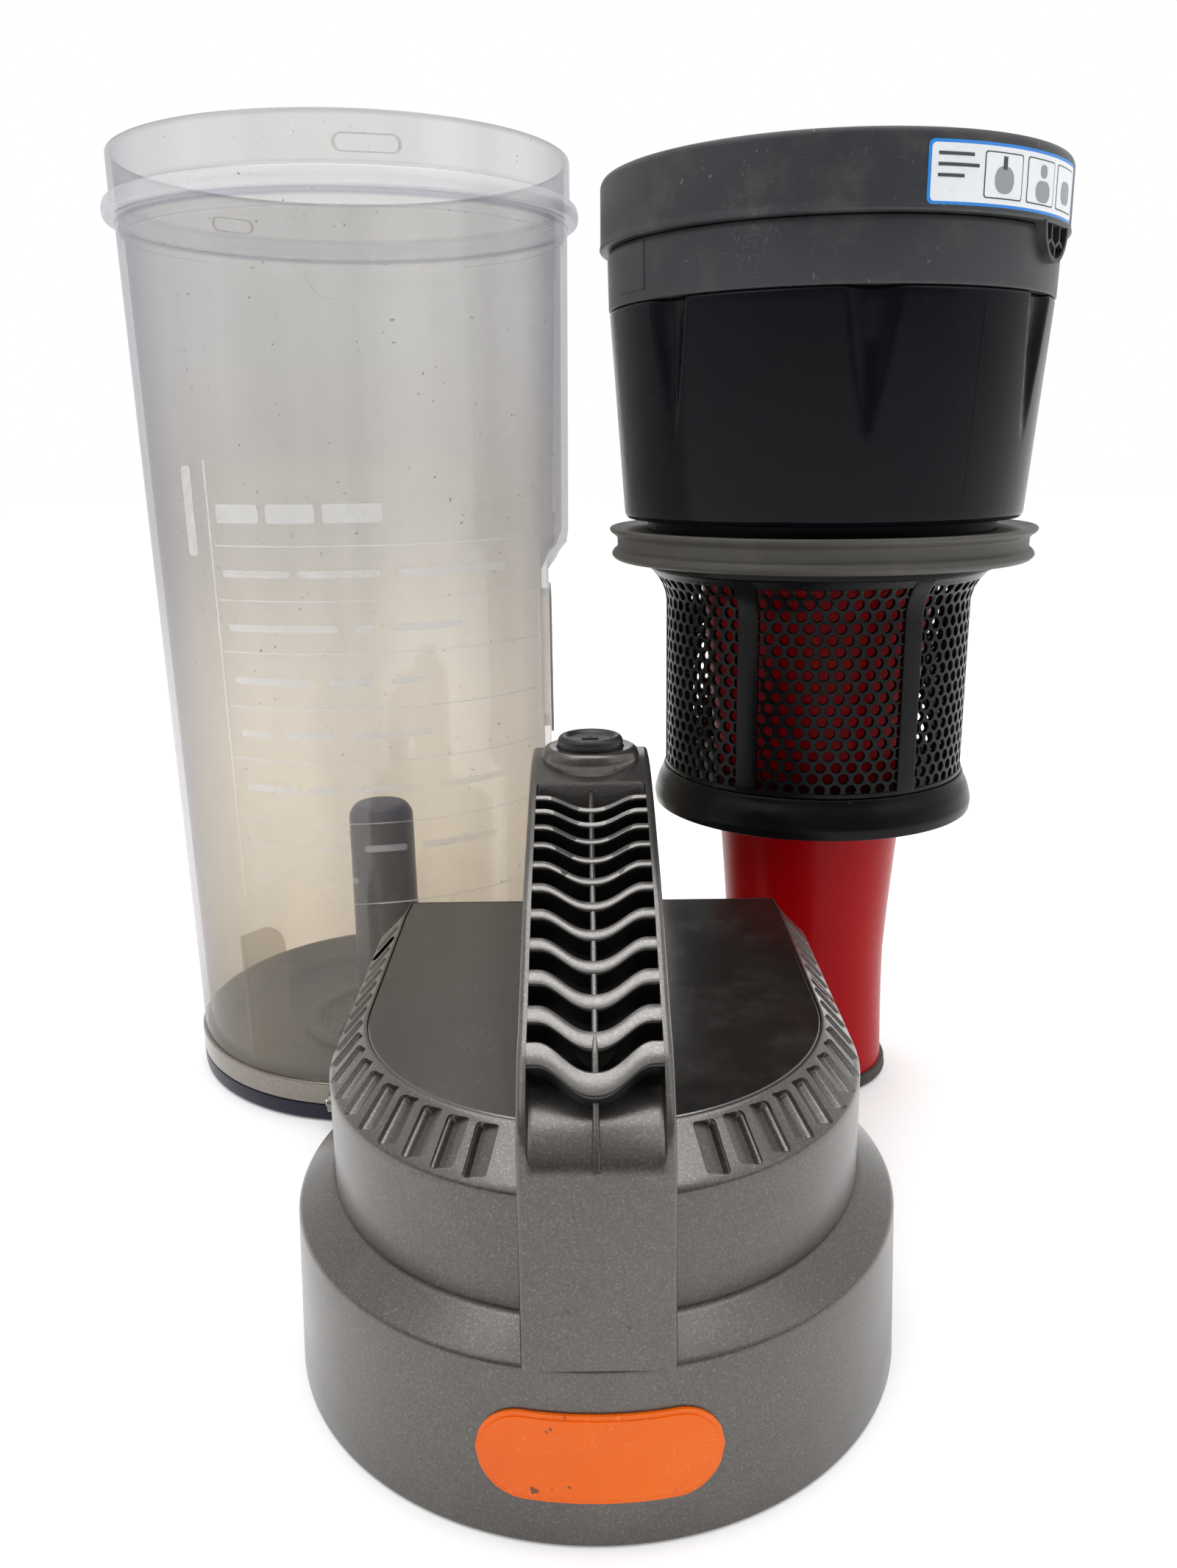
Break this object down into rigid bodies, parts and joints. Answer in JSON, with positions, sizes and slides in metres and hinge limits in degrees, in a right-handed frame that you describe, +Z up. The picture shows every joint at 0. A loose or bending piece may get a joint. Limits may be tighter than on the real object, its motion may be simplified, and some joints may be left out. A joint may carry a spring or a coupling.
{
  "type": "upright vacuum dust container",
  "caption": "Dust container of an upright vacuum cleaner, taken apart: clear bin with hinged base door, cyclone with filter and red collector, and lid with carrying handle and release button.",
  "frame": {"origin": "centre of the bin's foot, on the surface that everything stands on", "axes": "+Z up, -Y towards the front of the bin and the lid, +X from the bin towards the cyclone assembly"},
  "size_m": [0.3601, 0.3797, 0.368],
  "materials": {
    "clear_plastic": "clear moulded plastic, hazed by fine scratches",
    "pewter_paint": "metallic pewter paint over plastic, fine sparkle",
    "satin_plate": "satin dark brown-grey plastic",
    "black_plastic": "black plastic, satin gloss",
    "navy_plastic": "navy black plastic, satin gloss",
    "dark_grey_plastic": "dark grey plastic, scuffed satin",
    "mid_grey_plastic": "mid grey plastic, satin",
    "red_plastic": "red plastic, satin gloss",
    "taupe_rubber": "taupe grey rubber, matt",
    "black_rubber": "black rubber, matt",
    "filter_foam": "open-cell foam",
    "filter_felt": "pressed white felt",
    "steel": "zinc-plated steel",
    "orange_badge": "plain orange badge, gloss",
    "white_label": "printed label film"
  },
  "bodies": {
    "bin": {"bin_tube": "clear_plastic", "foot_ring": "pewter_paint", "inlet_seal": "black_rubber", "hinge_pin": "steel", "latch_pin": "steel"},
    "base_door": {"base_door": "black_plastic", "door_seal": "black_rubber", "centre_post": "navy_plastic"},
    "door_latch": {"door_latch": "black_plastic"},
    "cyclone": {"filter_housing": "dark_grey_plastic", "clamp_ring": "mid_grey_plastic", "instruction_label": "white_label", "cyclone_body": "black_plastic", "cone_pack": "black_plastic", "vortex_plate": "dark_grey_plastic", "cone_gasket": "black_rubber", "bin_seal": "taupe_rubber", "mesh_shroud": "black_plastic", "shroud_skirt": "black_plastic", "dust_collector": "red_plastic", "collector_seal": "black_rubber", "cone_screw_1": "steel", "cone_screw_2": "steel", "cone_screw_3": "steel"},
    "filter": {"filter_frame": "black_plastic", "foam_filter": "filter_foam", "felt_pad": "filter_felt"},
    "filter_pull": {"filter_pull": "red_plastic"},
    "lid": {"lid_shell": "pewter_paint", "lid_top_plate": "satin_plate", "lid_liner": "black_plastic", "lid_seal": "taupe_rubber", "front_badge": "orange_badge", "handle_frame": "pewter_paint", "handle_liner": "black_plastic", "handle_underside": "dark_grey_plastic", "liner_screw_1": "steel", "liner_screw_2": "steel", "liner_screw_3": "steel", "liner_screw_4": "steel", "leg_screw_1": "steel", "leg_screw_2": "steel", "catch_pin": "steel", "button_spring": "steel"},
    "release_button": {"release_button": "black_plastic", "push_rod": "dark_grey_plastic"},
    "lock_catch": {"lock_catch": "black_plastic"}
  },
  "joints": [
    {"name": "door_hinge", "type": "hinge", "parent": "bin", "child": "base_door", "pos_m": [0, 0.088, 0.0117], "axis": [1, 0, 0], "range_deg": [0, 88]},
    {"name": "latch_pivot", "type": "hinge", "parent": "bin", "child": "door_latch", "pos_m": [0, -0.088, 0.0117], "axis": [-1, 0, 0], "range_deg": [0, 6], "stiffness_Nm_per_rad": 0.2, "springref_deg": -8.59},
    {"name": "cyclone_lift", "type": "slide", "parent": "bin", "child": "cyclone", "axis": [0, 0, 1], "range_m": [0, 0.4]},
    {"name": "filter_lift", "type": "slide", "parent": "cyclone", "child": "filter", "axis": [0, 0, 1], "range_m": [0, 0.05]},
    {"name": "pull_hinge", "type": "hinge", "parent": "filter", "child": "filter_pull", "pos_m": [0.18382, -0.04608, 0.3512], "axis": [1, 0, 0], "range_deg": [0, 85]},
    {"name": "lid_lift", "type": "slide", "parent": "bin", "child": "lid", "axis": [0, -0.6, 0.8], "range_m": [0, 0.4]},
    {"name": "button_press", "type": "slide", "parent": "lid", "child": "release_button", "axis": [0, 0, -1], "range_m": [0, 0.005], "stiffness_N_per_m": 300, "springref_m": -0.004, "deforming": ["button_spring"]},
    {"name": "catch_pivot", "type": "hinge", "parent": "lid", "child": "lock_catch", "pos_m": [0.09281, -0.1192, 0.0822], "axis": [1, 0, 0], "range_deg": [0, 9.6]}
  ],
  "couplings": [
    {"joint": "catch_pivot", "follows": "button_press", "rad_per_m": 33.333}
  ]
}
